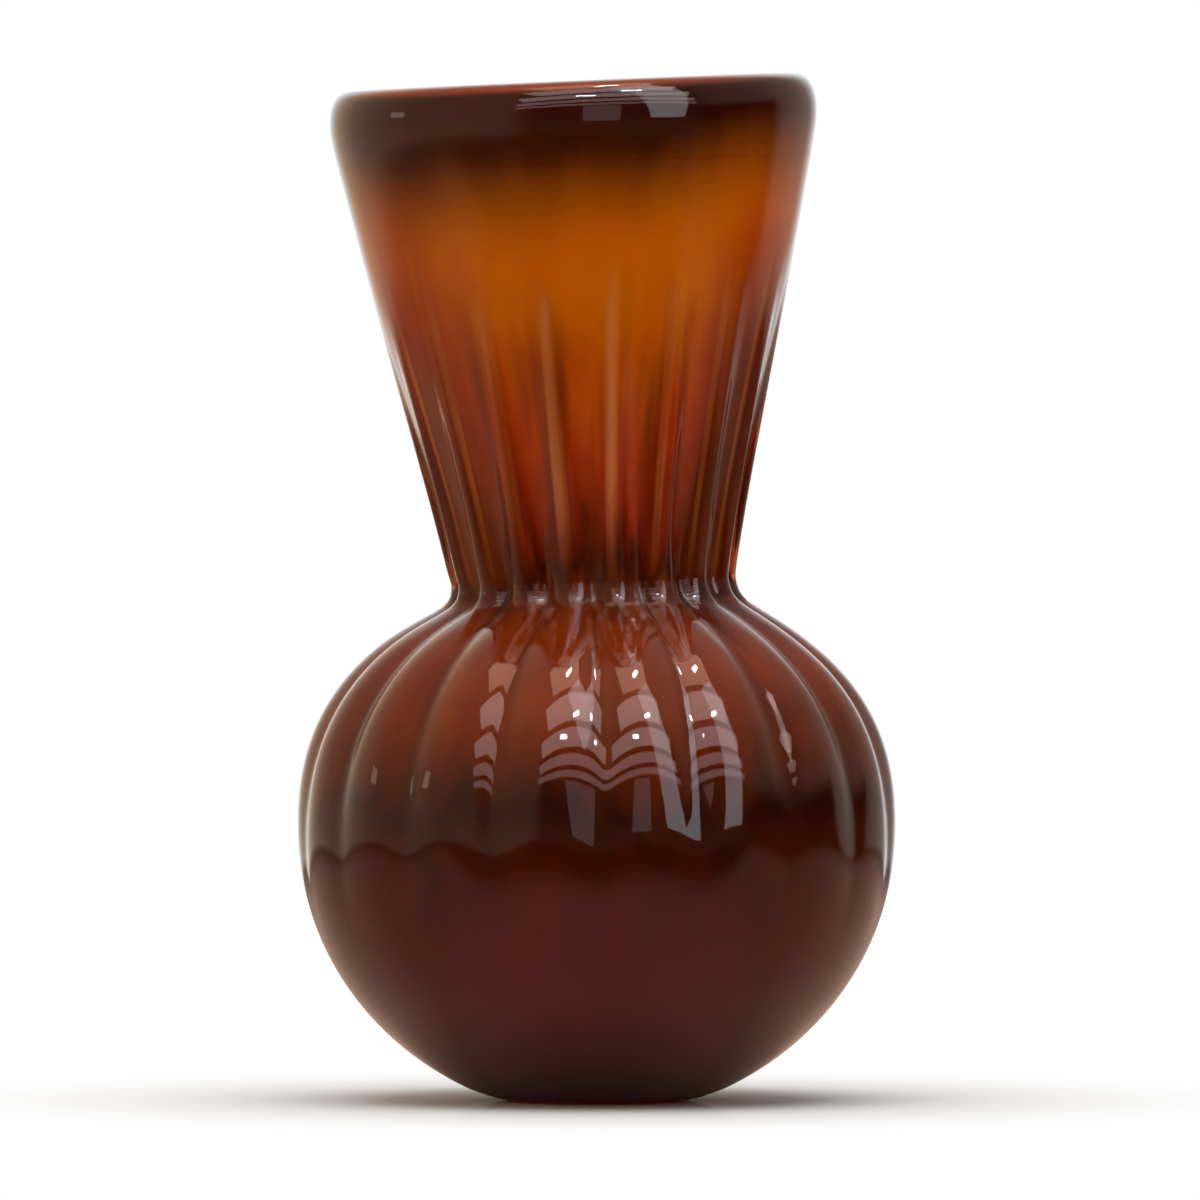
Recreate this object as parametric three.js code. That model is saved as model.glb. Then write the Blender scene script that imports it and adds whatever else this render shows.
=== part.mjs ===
// Keyhole vase: a ribbed glass globe, a tight waist and a flared collar that leans a little to one side.
// It is blown in layers: a brown outer casing that rolls over the rim, an amber lining inside it, and a dark
// band of glass inside the mouth, between the lining and the roll.
// Millimetres, +Z up. The origin is on the table under the middle of the globe. The front faces -Y.
import * as THREE from 'three';

const { degToRad, lerp, smoothstep } = THREE.MathUtils;

// Outer form, measured over the ridges of the ribs
const GLOBE_RADIUS = 52.9;
const EQUATOR_HEIGHT = 48.2; // the globe's widest ring above the table
const SHOULDER_HEIGHT = 39.6; // from the equator up to the crease of the waist
const SHOULDER_FULLNESS = 2.4; // power of the shoulder curve, 2 for an ellipse
const WAIST_RADIUS = 23.9; // of the crease, before its fillet
const WAIST_FILLET = 6.2; // rounding of the crease
const COLLAR_HEIGHT = 92.2; // from the crease up to the top of the lip, along the collar's own axis
const COLLAR_FLARE = degToRad(12.8); // of the collar's straight wall, from its axis
const RIM_RADIUS = 43.6; // of the upright wall that the collar turns into below the lip
const RIM_EASE = 0.8; // rounding of that turn
const COLLAR_LEAN = degToRad(2.4); // towards -X
const LEAN_BLEND = 8; // the bend into the lean takes this much height on each side of the crease
const LEAN_DROP = 12; // the collar leans about a point on the axis this far below the crease

// Foot
const FOOT_RADIUS = 15; // outer edge of the flat ring that stands on the table
const FOOT_EDGE = 2.3; // from there out to where the belly curve would meet the table
const FOOT_EDGE_RISE = 2; // height at which the rounded edge of the foot joins the belly
const PONTIL_RADIUS = 9; // ground hollow under the foot
const PONTIL_DEPTH = 1.2;

// Ribs
const RIB_COUNT = 18;
const RIB_DEPTH = 2.2; // ridge to valley
const RIB_COLLAR_REACH = 60; // the ribs end this far above the crease
const RIB_COLLAR_FADE = 46; // and are full this far below their upper end
const RIB_BELLY_REACH = 22; // the ribs end this far below the equator
const RIB_BELLY_FADE = 52; // and are full this far above their lower end
const RIB_LOBE_POWER = 2; // section on the globe: broad lobes and narrow valleys
const RIB_RIDGE_POWER = 0.3; // section in the collar: narrow ridges and broad valleys
const RIB_CHANGE = 20; // the one section turns into the other over this height above the crease

// Glass thickness
const CASING_WALL = 1.8; // in the globe, under the valleys of the ribs
const CASING_COLLAR_WALL = 1.1; // in the collar, under the valleys of the ribs
const BASE_THICKNESS = 7;
const LINING_WALL = 0.9;
const SEAM = 0.3; // clearance between one layer of glass and the next

// Lip
const LIP_HEIGHT = 13; // from the dark band's lower edge to the top of the lip
const LIP_ROUND = 4.8; // the lip's outer corner is rounded this far in
const LIP_ROUND_HEIGHT = 7.6; // and this far down
const LIP_SQUARENESS = 2.8; // power of that corner's curve, 2 for an ellipse
const LIP_INNER_ROUND = 1.6; // rounding of its inner corner
const ROLL_EDGE = 0.4; // straight inner edge of the roll, below its rounding

// Facets
const COLUMNS_PER_RIB = 4;
const LINING_COLUMNS = 36;
const PONTIL_RINGS = 2;
const FOOT_RINGS = 3;
const LIP_ROUND_STEPS = 4;
const LIP_INNER_STEPS = 2;
const ROLL_RINGS = 3;
const RIBBED_RINGS = { belly: 8, shoulder: 9, waist: 4, collar: 9 };
const SMOOTH_RINGS = { belly: 6, shoulder: 7, waist: 2, collar: 3 };

const CASING_COLUMNS = RIB_COUNT * COLUMNS_PER_RIB;
const CREASE_HEIGHT = EQUATOR_HEIGHT + SHOULDER_HEIGHT;
const RIM_HEIGHT = CREASE_HEIGHT + COLLAR_HEIGHT;
const LEAN_PIVOT = CREASE_HEIGHT - LEAN_DROP;
const COLLAR_WIDENING = RIM_RADIUS - WAIST_RADIUS;
const RIM_TURN = CREASE_HEIGHT + COLLAR_WIDENING / Math.tan(COLLAR_FLARE); // where the cone turns upright
const LIP_SEAT = RIM_HEIGHT - LIP_HEIGHT;
const LIP_BEND = RIM_HEIGHT - LIP_ROUND_HEIGHT; // height at which the wall starts to roll over
const ROLL_UNDERSIDE = RIM_HEIGHT - LIP_INNER_ROUND - ROLL_EDGE;
const RIB_TOP = CREASE_HEIGHT + RIB_COLLAR_REACH;
const RIB_BOTTOM = EQUATOR_HEIGHT - RIB_BELLY_REACH;
const QUARTER_TURN = Math.PI / 2;

// Heights that the shoulder and the belly would need to close on the axis
const CREASE_SHARE = 1 - (WAIST_RADIUS / GLOBE_RADIUS) ** 2;
const SHOULDER_RISE = SHOULDER_HEIGHT / CREASE_SHARE ** (1 / SHOULDER_FULLNESS);
const FOOT_SHARE = 1 - ((FOOT_RADIUS + FOOT_EDGE) / GLOBE_RADIUS) ** 2;
const BELLY_DROP = EQUATOR_HEIGHT / Math.sqrt(FOOT_SHARE);

// A surface of a layer is described by how far it lies inside the outer form, and where its bowl closes.
const OUTSIDE = {
  globeInset: 0,
  collarInset: 0,
  bowlFloor: EQUATOR_HEIGHT - BELLY_DROP,
};
const CASING_INSIDE = {
  globeInset: RIB_DEPTH + CASING_WALL,
  collarInset: RIB_DEPTH + CASING_COLLAR_WALL,
  bowlFloor: BASE_THICKNESS,
};
const LINING_OUTSIDE = deeper(CASING_INSIDE, SEAM);
const LINING_INSIDE = deeper(LINING_OUTSIDE, LINING_WALL);

const LIP_CROWN = wallRadius(OUTSIDE, LIP_BEND) - LIP_ROUND; // radius of the lip's highest ring
const LIP_INNER_RADIUS = LIP_CROWN - LIP_INNER_ROUND;

/** The surface that lies a given depth further in. */
function deeper(surface, depth) {
  return {
    globeInset: surface.globeInset + depth,
    collarInset: surface.collarInset + depth,
    bowlFloor: surface.bowlFloor + depth,
  };
}

/** Radius of a surface's globe at a height: an ellipse below the equator, a fuller curve above it. */
function globeRadius(surface, height) {
  const above = height > EQUATOR_HEIGHT;
  const reach = above ? SHOULDER_RISE - surface.globeInset : EQUATOR_HEIGHT - surface.bowlFloor;
  const share = Math.min(Math.abs(height - EQUATOR_HEIGHT) / reach, 1);
  const power = above ? SHOULDER_FULLNESS : 2;
  return (GLOBE_RADIUS - surface.globeInset) * Math.sqrt(1 - share ** power);
}

/** Radius of a surface's collar at a height: a cone, carried on below the crease and upright at the rim. */
function collarRadius(surface, height) {
  const cone = WAIST_RADIUS + (height - CREASE_HEIGHT) * Math.tan(COLLAR_FLARE);
  const outer = (cone + RIM_RADIUS - Math.hypot(cone - RIM_RADIUS, RIM_EASE)) / 2;
  return outer - surface.collarInset / Math.cos(COLLAR_FLARE);
}

/** Radius of a surface at a height: the globe below and the collar above, with a fillet in the crease. */
function wallRadius(surface, height) {
  const globe = globeRadius(surface, height);
  if (height < EQUATOR_HEIGHT) return globe;
  const collar = collarRadius(surface, height);
  const fillet = WAIST_FILLET * smoothstep(height, EQUATOR_HEIGHT, CREASE_HEIGHT);
  return (globe + collar + Math.hypot(globe - collar, fillet)) / 2;
}

/** Values from one end to the other, without the first one. */
function climb(from, to, count, ease = (share) => share) {
  return Array.from({ length: count }, (_, i) => from + (to - from) * ease((i + 1) / count));
}

/** Heights of the rings from a start on the belly to a top in the collar, closest where the wall turns. */
function ringHeights(start, top, rings) {
  const leant = CREASE_HEIGHT + LEAN_BLEND;
  const turn = Math.min(RIM_TURN, top);
  const upright = turn < top ? [top] : [];
  return [
    ...climb(start, EQUATOR_HEIGHT, rings.belly, (share) => 1 - Math.cos(share * QUARTER_TURN)),
    ...climb(EQUATOR_HEIGHT, CREASE_HEIGHT, rings.shoulder, (share) => Math.sin(share * QUARTER_TURN)),
    ...climb(CREASE_HEIGHT, leant, rings.waist),
    ...climb(leant, turn, rings.collar),
    ...upright,
  ];
}

/** Profile of a surface as (radius, height) points, rising from the belly to a top in the collar. */
function wallProfile(surface, start, top, rings) {
  const heights = ringHeights(start, top, rings);
  return heights.map((height) => new THREE.Vector2(wallRadius(surface, height), height));
}

/** Profile of a smooth surface with a round bowl, rising from the axis to a top in the collar. */
function bowlProfile(surface, top) {
  const bottom = new THREE.Vector2(0, surface.bowlFloor);
  return [bottom, ...wallProfile(surface, surface.bowlFloor, top, SMOOTH_RINGS)];
}

/** Profile of the underside: the ground hollow, the flat ring and its rounded edge up to the belly. */
function footProfile() {
  const hollow = climb(0, PONTIL_RADIUS, PONTIL_RINGS).map(
    (radius) => new THREE.Vector2(radius, PONTIL_DEPTH * (1 - (radius / PONTIL_RADIUS) ** 2)),
  );
  const flat = new THREE.Vector2(FOOT_RADIUS, 0);
  const corner = new THREE.Vector2(FOOT_RADIUS + FOOT_EDGE, 0);
  const joint = new THREE.Vector2(wallRadius(OUTSIDE, FOOT_EDGE_RISE), FOOT_EDGE_RISE);
  const edge = new THREE.QuadraticBezierCurve(flat, corner, joint);
  return [new THREE.Vector2(0, PONTIL_DEPTH), ...hollow, ...edge.getPoints(FOOT_RINGS)];
}

/** Corner that turns in to the lip's crown, from a radius where the wall bends to a given height. */
function lipCorner(radius, top, steps) {
  return climb(0, QUARTER_TURN, steps).map((turn) => {
    const across = Math.cos(turn) ** (2 / LIP_SQUARENESS);
    const rise = Math.sin(turn) ** (2 / LIP_SQUARENESS);
    return new THREE.Vector2(LIP_CROWN + (radius - LIP_CROWN) * across, LIP_BEND + (top - LIP_BEND) * rise);
  });
}

/** Profile of the roll: the outer wall turns over the lip and comes down to the roll's inner edge. */
function rollProfile() {
  const inner = new THREE.Path();
  inner.absarc(LIP_CROWN, RIM_HEIGHT - LIP_INNER_ROUND, LIP_INNER_ROUND, QUARTER_TURN, Math.PI);
  inner.lineTo(LIP_INNER_RADIUS, ROLL_UNDERSIDE);
  const outer = lipCorner(wallRadius(OUTSIDE, LIP_BEND), RIM_HEIGHT, LIP_ROUND_STEPS);
  return [...outer, ...inner.getPoints(LIP_INNER_STEPS).slice(1)];
}

/** Profile of an inner surface under the roll: it turns in with the lip up to a given height. */
function underRollProfile(surface, top) {
  return lipCorner(wallRadius(surface, LIP_BEND), top, ROLL_RINGS);
}

/** Section of the dark band: it stands on the lining, lies against the casing and ends under the roll. */
function bandProfile() {
  const top = ROLL_UNDERSIDE - SEAM;
  const foot = new THREE.Vector2(wallRadius(LINING_INSIDE, LIP_SEAT), LIP_SEAT);
  return [
    foot,
    new THREE.Vector2(wallRadius(LINING_OUTSIDE, LIP_SEAT), LIP_SEAT),
    new THREE.Vector2(wallRadius(LINING_OUTSIDE, LIP_BEND), LIP_BEND),
    ...underRollProfile(LINING_OUTSIDE, top),
    new THREE.Vector2(LIP_INNER_RADIUS, top),
    foot,
  ];
}

/** Presses the ribs into a point of the outer surface: valleys at the front and every rib's width from it. */
function flute(point) {
  const risen = smoothstep(point.z, RIB_BOTTOM, RIB_BOTTOM + RIB_BELLY_FADE);
  const sunk = 1 - smoothstep(point.z, RIB_TOP - RIB_COLLAR_FADE, RIB_TOP);
  const depth = RIB_DEPTH * risen * sunk;
  if (depth === 0) return;
  const radius = Math.hypot(point.x, point.y);
  const angle = Math.atan2(point.x, -point.y);
  const change = smoothstep(point.z, CREASE_HEIGHT, CREASE_HEIGHT + RIB_CHANGE);
  const valley = ((1 + Math.cos(RIB_COUNT * angle)) / 2) ** lerp(RIB_LOBE_POWER, RIB_RIDGE_POWER, change);
  const pressed = (radius - depth * valley) / radius;
  point.x *= pressed;
  point.y *= pressed;
}

/** Leans a point of the collar over about a point on the globe's axis. */
function lean(point) {
  const share = smoothstep(point.z, CREASE_HEIGHT - LEAN_BLEND, CREASE_HEIGHT + LEAN_BLEND);
  const angle = COLLAR_LEAN * share;
  const across = point.x;
  const rise = point.z - LEAN_PIVOT;
  point.x = across * Math.cos(angle) - rise * Math.sin(angle);
  point.z = LEAN_PIVOT + rise * Math.cos(angle) + across * Math.sin(angle);
}

/** Turns a profile round +Z into a body of glass, ribbed over its first points and leaned above the waist. */
function blow(profile, columns, ribbedPoints = 0) {
  const geometry = new THREE.LatheGeometry(profile, columns);
  geometry.rotateX(QUARTER_TURN);
  const places = geometry.attributes.position;
  const point = new THREE.Vector3();
  for (let i = 0; i < places.count; i += 1) {
    point.fromBufferAttribute(places, i);
    if (i % profile.length < ribbedPoints) flute(point);
    lean(point);
    places.setXYZ(i, point.x, point.y, point.z);
  }
  return geometry;
}

/** A named layer of glass in its own colour. */
function layerOfGlass(name, geometry, colour, roughness) {
  const material = new THREE.MeshStandardMaterial({ color: colour, roughness, metalness: 0 });
  const mesh = new THREE.Mesh(geometry, material);
  mesh.name = name;
  return mesh;
}

/** The ribbed brown glass: foot, belly, shoulder, collar and roll outside, and a round bowl inside. */
function outerCasing() {
  const outside = [...footProfile(), ...wallProfile(OUTSIDE, FOOT_EDGE_RISE, LIP_BEND, RIBBED_RINGS)];
  const bowl = bowlProfile(CASING_INSIDE, LIP_BEND);
  const inside = [...bowl, ...underRollProfile(CASING_INSIDE, ROLL_UNDERSIDE)].reverse();
  const profile = [...outside, ...rollProfile(), ...inside];
  return layerOfGlass('outer_casing', blow(profile, CASING_COLUMNS, outside.length), '#43211c', 0.06);
}

/** The amber glass that lines the casing from the bowl to the foot of the dark band. */
function innerLining() {
  const top = LIP_SEAT - SEAM;
  const profile = [...bowlProfile(LINING_OUTSIDE, top), ...bowlProfile(LINING_INSIDE, top).reverse()];
  return layerOfGlass('inner_lining', blow(profile, LINING_COLUMNS), '#a44d08', 0.2);
}

/** The dark band of glass inside the mouth, between the lining and the roll. */
function lipBand() {
  return layerOfGlass('lip_band', blow(bandProfile(), CASING_COLUMNS), '#331512', 0.1);
}

const vase = new THREE.Group();
vase.name = 'keyhole_vase';
vase.add(outerCasing(), innerLining(), lipBand());

export default vase;
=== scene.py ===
"""Keyhole vase of layered blown glass, with the floor, the lights and the camera of its photograph."""

from __future__ import annotations

import logging
import math
from abc import ABC, abstractmethod
from collections import defaultdict
from dataclasses import dataclass, field, replace
from enum import Enum
from typing import Any, Iterable, Optional, Union

import bmesh
import bpy
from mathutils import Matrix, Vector


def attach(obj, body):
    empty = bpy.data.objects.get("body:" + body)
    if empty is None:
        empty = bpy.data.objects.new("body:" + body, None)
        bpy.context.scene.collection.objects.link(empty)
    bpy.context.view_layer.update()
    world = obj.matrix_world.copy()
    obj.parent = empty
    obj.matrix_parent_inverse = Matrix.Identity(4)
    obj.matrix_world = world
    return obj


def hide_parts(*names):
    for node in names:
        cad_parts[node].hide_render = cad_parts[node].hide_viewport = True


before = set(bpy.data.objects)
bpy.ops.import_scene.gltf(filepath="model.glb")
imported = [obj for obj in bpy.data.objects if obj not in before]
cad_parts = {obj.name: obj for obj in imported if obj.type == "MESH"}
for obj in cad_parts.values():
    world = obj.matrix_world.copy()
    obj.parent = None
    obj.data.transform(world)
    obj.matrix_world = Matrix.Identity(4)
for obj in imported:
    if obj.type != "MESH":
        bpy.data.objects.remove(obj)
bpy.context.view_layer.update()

BODY = "root"
LOG = logging.getLogger("keyhole_vase")

Colour = tuple[float, float, float, float]

# The middle of a value that runs from 0 to 1, such as noise.
MIDDLE = 0.5
# One turn in degrees.
FULL_TURN = 360.0


class Wire:
    """A socket of a material: Python's operators on it add Math nodes."""

    def __init__(self, tray: NodeTray, socket: bpy.types.NodeSocket) -> None:
        """Wraps an output socket of a node on a tray."""
        self.tray = tray
        self.socket = socket

    def out(self, name: str) -> Wire:
        """Another output of the same node."""
        return Wire(self.tray, self.socket.node.outputs[name])

    def maths(self, operation: str, *others: Operand, first: Optional[Operand] = None) -> Wire:
        """Adds a Math node on this value and the others, or on a first value and this one."""
        values = [self, *others] if first is None else [first, self]
        return self.tray.add("ShaderNodeMath", {"operation": operation}, dict(enumerate(values)))

    def __add__(self, other: Operand) -> Wire:
        """self + other"""
        return self.maths("ADD", other)

    def __radd__(self, other: Operand) -> Wire:
        """other + self"""
        return self.maths("ADD", first=other)

    def __sub__(self, other: Operand) -> Wire:
        """self - other"""
        return self.maths("SUBTRACT", other)

    def __rsub__(self, other: Operand) -> Wire:
        """other - self"""
        return self.maths("SUBTRACT", first=other)

    def __mul__(self, other: Operand) -> Wire:
        """self * other"""
        return self.maths("MULTIPLY", other)

    def __rmul__(self, other: Operand) -> Wire:
        """other * self"""
        return self.maths("MULTIPLY", first=other)

    def __truediv__(self, other: Operand) -> Wire:
        """self / other"""
        return self.maths("DIVIDE", other)

    def __rtruediv__(self, other: Operand) -> Wire:
        """other / self"""
        return self.maths("DIVIDE", first=other)

    def rise(self, low: float, high: float) -> Wire:
        """A smooth step of this value.

        Args:
            low: Where the step starts.
            high: Where it ends. Below low, the step falls instead.

        Returns:
            0 before the step and 1 after it.
        """
        start, end = sorted((low, high))
        ends = {"Value": self, "From Min": start, "From Max": end}
        if high < low:
            ends |= {"To Min": 1.0, "To Max": 0.0}
        return self.tray.add("ShaderNodeMapRange", {"interpolation_type": "SMOOTHSTEP"}, ends)


Operand = Union[Wire, float]


class NodeTray:
    """The node tree of one material or world."""

    MIX_FACTOR = 0
    MIX_FIRST = 6
    MIX_SECOND = 7
    MIX_RESULT = 2
    COARSE = 2.0
    FINE = 3.0

    def __init__(self, tree: bpy.types.NodeTree) -> None:
        """Empties a node tree and takes it over."""
        self.tree = tree
        tree.nodes.clear()

    @classmethod
    def for_material(cls, name: str) -> tuple[bpy.types.Material, NodeTray]:
        """Starts a material.

        Args:
            name: The material's name.

        Returns:
            The material and its empty node tree.
        """
        material = bpy.data.materials.new(name)
        material.use_nodes = True
        return material, cls(material.node_tree)

    def add(
        self,
        kind: str,
        settings: Optional[dict[str, Any]] = None,
        sockets: Optional[dict[Union[str, int], Any]] = None,
        output: Union[str, int] = 0,
    ) -> Wire:
        """Adds a node.

        Args:
            kind: The node's type.
            settings: Its settings, set first. A ramp's stops are pairs of a place and a colour.
            sockets: The values or wires of its inputs.
            output: The output to return.

        Returns:
            That output, or None where the node has none.
        """
        node = self.tree.nodes.new(kind)
        for name, setting in (settings or {}).items():
            if name == "stops":
                self._set_stops(node.color_ramp, setting)
            else:
                setattr(node, name, setting)
        for name, value in (sockets or {}).items():
            if isinstance(value, Wire):
                self.tree.links.new(value.socket, node.inputs[name])
            else:
                node.inputs[name].default_value = value
        return Wire(self, node.outputs[output]) if len(node.outputs) else None

    @staticmethod
    def _set_stops(ramp: bpy.types.ColorRamp, stops: list[tuple[float, Colour]]) -> None:
        """Puts stops on a ramp.

        Args:
            ramp: The ramp.
            stops: Pairs of a place and a colour.
        """
        while len(ramp.elements) < len(stops):
            ramp.elements.new(1.0)
        for element, (place, colour) in zip(ramp.elements, stops):
            element.position = place
            element.color = colour

    def mix(self, factor: Operand, first: Any, second: Any, blend: str = "MIX") -> Wire:
        """Mixes two colours.

        Args:
            factor: 0 for the first colour and 1 for the second.
            first: A colour or its wire.
            second: A colour or its wire.
            blend: The Mix node's blend type.

        Returns:
            The mixed colour.
        """
        settings = {"data_type": "RGBA", "blend_type": blend}
        colours = {self.MIX_FACTOR: factor, self.MIX_FIRST: first, self.MIX_SECOND: second}
        return self.add("ShaderNodeMix", settings, colours, self.MIX_RESULT)

    def blend(self, factor: Operand, first: Wire, second: Wire) -> Wire:
        """Mixes two shaders: 0 gives the first and 1 the second."""
        return self.add("ShaderNodeMixShader", None, {0: factor, 1: first, 2: second})

    def noise(self, place: Wire, scale: float, detail: float = FINE) -> Wire:
        """Soft noise from 0 to 1 at a place, with a scale in features per unit."""
        return self.add("ShaderNodeTexNoise", None, {"Vector": place, "Scale": scale, "Detail": detail})


class Ease(Enum):
    """How rings are spread between two heights."""

    EVEN = "even"
    CLOSE_AT_START = "close_at_start"
    CLOSE_AT_END = "close_at_end"

    def share(self, step: float) -> float:
        """Turns an even step into an eased one.

        Args:
            step: A step from 0 to 1.

        Returns:
            The share of the way that it has come.
        """
        if self is Ease.CLOSE_AT_START:
            return 1 - math.cos(step * math.pi / 2)
        if self is Ease.CLOSE_AT_END:
            return math.sin(step * math.pi / 2)
        return step


def climb(start: float, end: float, count: int, ease: Ease = Ease.EVEN) -> list[float]:
    """Values from a start to an end, without the start itself."""
    return [start + (end - start) * ease.share((i + 1) / count) for i in range(count)]


def smoothstep(value: float, low: float, high: float) -> float:
    """A smooth step from 0 at low to 1 at high."""
    share = min(max((value - low) / (high - low), 0.0), 1.0)
    return share * share * (3 - 2 * share)


@dataclass(frozen=True)
class Face:
    """How far a face of a glass layer lies inside the outer form, and where its bowl closes on the axis."""

    globe: float
    collar: float
    floor: float

    def deeper(self, depth: float) -> Face:
        """The face that lies a given depth further in."""
        return Face(self.globe + depth, self.collar + depth, self.floor + depth)


@dataclass(frozen=True)
class Ribs:
    """The ribs that the mould pressed in: broad lobes on the globe and narrow ridges on the collar."""

    count: int = 18
    depth: float = 0.0024
    belly_start: float = 0.024
    belly_full: float = 0.078
    collar_full: float = 0.100
    collar_end: float = 0.150
    collar_tilt: float = 0.004
    lobes_end: float = 0.088
    ridges_start: float = 0.108
    ridge_sharpness: float = 6.0

    def depth_at(self, height: float, angle: float) -> float:
        """Depth of the ribs at a place.

        Args:
            height: Height before the collar is leaned.
            angle: Angle from the front. The ribs reach higher on the side that the collar leans away from.

        Returns:
            Depth from ridge to valley.
        """
        tilt = self.collar_tilt * math.sin(angle)
        risen = smoothstep(height, self.belly_start, self.belly_full)
        sunk = smoothstep(height - tilt, self.collar_full, self.collar_end)
        return self.depth * risen * (1 - sunk)

    def sunk_at(self, height: float, angle: float) -> float:
        """How far the wall lies below the ridges at a place.

        Args:
            height: Height before the collar is leaned.
            angle: Angle from the front, where a valley is.

        Returns:
            The distance towards the axis.
        """
        phase = (self.count * angle) % math.tau - math.pi
        lobe = (phase / math.pi) ** 2
        ridge = 1 - math.cos(phase / 2) ** self.ridge_sharpness
        share = smoothstep(height, self.lobes_end, self.ridges_start)
        return self.depth_at(height, angle) * (lobe + (ridge - lobe) * share)


@dataclass(frozen=True)
class VaseForm:
    """The outer form of the vase over the ridges of its ribs, in metres, before the collar is leaned."""

    UNDER_ROLL_RINGS = 4

    globe_radius: float = 0.0529
    equator: float = 0.0482
    shoulder_height: float = 0.0396
    shoulder_fullness: float = 2.4
    waist_radius: float = 0.0239
    waist_fillet: float = 0.0062
    collar_height: float = 0.0922
    collar_flare: float = math.radians(12.8)
    rim_radius: float = 0.0436
    rim_ease: float = 0.0008
    lip_round: float = 0.0048
    lip_round_height: float = 0.0076
    lip_squareness: float = 2.8
    lip_inner_round: float = 0.0012
    roll_edge: float = 0.0003
    lip_height: float = 0.013
    foot_radius: float = 0.015
    foot_edge: float = 0.0023
    foot_edge_rise: float = 0.002
    pontil_radius: float = 0.009
    pontil_depth: float = 0.0012
    lean: float = math.radians(2.4)
    lean_blend: float = 0.008
    lean_drop: float = 0.012
    ribs: Ribs = Ribs()
    outside: Face = Face(0.0, 0.0, -0.0028)
    casing_inside: Face = Face(0.004, 0.0033, 0.007)
    lining_wall: float = 0.0012

    @property
    def crease(self) -> float:
        """Height of the crease at the waist."""
        return self.equator + self.shoulder_height

    @property
    def rim(self) -> float:
        """Height of the lip's top."""
        return self.crease + self.collar_height

    @property
    def lean_pivot(self) -> float:
        """Height on the globe's axis about which the collar leans."""
        return self.crease - self.lean_drop

    @property
    def lip_bend(self) -> float:
        """Height at which the collar starts to roll over."""
        return self.rim - self.lip_round_height

    @property
    def lip_crown(self) -> float:
        """Radius of the lip's highest ring."""
        return self.radius_at(self.outside, self.lip_bend) - self.lip_round

    @property
    def lip_seat(self) -> float:
        """Height at which the dark band stands on the lining."""
        return self.rim - self.lip_height

    @property
    def roll_underside(self) -> float:
        """Height of the roll's underside, above the dark band."""
        return self.rim - self.lip_inner_round - self.roll_edge

    def globe_at(self, face: Face, height: float) -> float:
        """Radius of a face's globe: an ellipse below the equator and a fuller curve above it.

        Args:
            face: The face.
            height: Height before the collar is leaned.

        Returns:
            The radius.
        """
        above = height > self.equator
        power = self.shoulder_fullness if above else 2.0
        crease_share = 1 - (self.waist_radius / self.globe_radius) ** 2
        rise = self.shoulder_height / crease_share ** (1 / self.shoulder_fullness)
        reach = rise - face.globe if above else self.equator - face.floor
        share = min(abs(height - self.equator) / reach, 1.0)
        return (self.globe_radius - face.globe) * math.sqrt(1 - share**power)

    def radius_at(self, face: Face, height: float) -> float:
        """Radius of a face at a height: the globe below and the collar above, with a fillet in the crease.

        Args:
            face: The face.
            height: Height before the collar is leaned.

        Returns:
            The radius.
        """
        globe = self.globe_at(face, height)
        if height < self.equator:
            return globe
        flared = self.waist_radius + (height - self.crease) * math.tan(self.collar_flare)
        outer = (flared + self.rim_radius - math.hypot(flared - self.rim_radius, self.rim_ease)) / 2
        collar = outer - face.collar / math.cos(self.collar_flare)
        fillet = self.waist_fillet * smoothstep(height, self.equator, self.crease)
        return (globe + collar + math.hypot(globe - collar, fillet)) / 2

    def point(self, face: Face, height: float) -> Vector:
        """A point of a face's profile, at the right of the axis."""
        return Vector((self.radius_at(face, height), 0.0, height))

    def lip_corner(self, radius: float, top: float, rings: int) -> list[Vector]:
        """A corner that turns in to the lip's crown.

        Args:
            radius: Radius where the wall bends.
            top: Height at which the corner ends.
            rings: How many rings it gets.

        Returns:
            Points from above the bend up to the crown.
        """
        power = 2 / self.lip_squareness
        points = []
        for angle in climb(0.0, math.pi / 2, rings):
            across = max(math.cos(angle), 0.0) ** power
            rise = math.sin(angle) ** power
            x = self.lip_crown + (radius - self.lip_crown) * across
            points.append(Vector((x, 0.0, self.lip_bend + (top - self.lip_bend) * rise)))
        return points

    def under_roll(self, fused: float = 0.0) -> list[Vector]:
        """The underside of the roll, which the dark band fills.

        Args:
            fused: How far the profile lies inside the glass above it.

        Returns:
            Points from the roll's inner edge out to the casing's inner wall.
        """
        height = self.roll_underside + fused
        face = self.casing_inside.deeper(-fused)
        bend = self.radius_at(face, self.lip_bend)
        corner = self.lip_corner(bend, height, self.UNDER_ROLL_RINGS)
        edge = Vector((self.lip_crown - self.lip_inner_round + fused, 0.0, height))
        return [edge, *reversed(corner), self.point(face, self.lip_bend)]

    def bowl(self, face: Face, top: float, rings: Rings) -> list[Vector]:
        """The smooth profile of an inner face, from the axis up to a top in the collar."""
        heights = rings.heights(self, face.floor, top)
        return [Vector((0.0, 0.0, face.floor)), *(self.point(face, height) for height in heights)]


@dataclass(frozen=True)
class Rings:
    """How many rings of faces each zone of a profile gets."""

    belly: int
    shoulder: int
    waist: int
    collar: int

    def heights(self, form: VaseForm, start: float, top: float) -> list[float]:
        """Heights of a profile's rings.

        Args:
            form: The vase's form.
            start: Where the profile starts on the belly.
            top: Where it ends in the collar.

        Returns:
            The heights from above the start up to the top.
        """
        leant = form.crease + form.lean_blend
        return [
            *climb(start, form.equator, self.belly, Ease.CLOSE_AT_START),
            *climb(form.equator, form.crease, self.shoulder, Ease.CLOSE_AT_END),
            *climb(form.crease, leant, self.waist),
            *climb(leant, top, self.collar),
        ]


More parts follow.
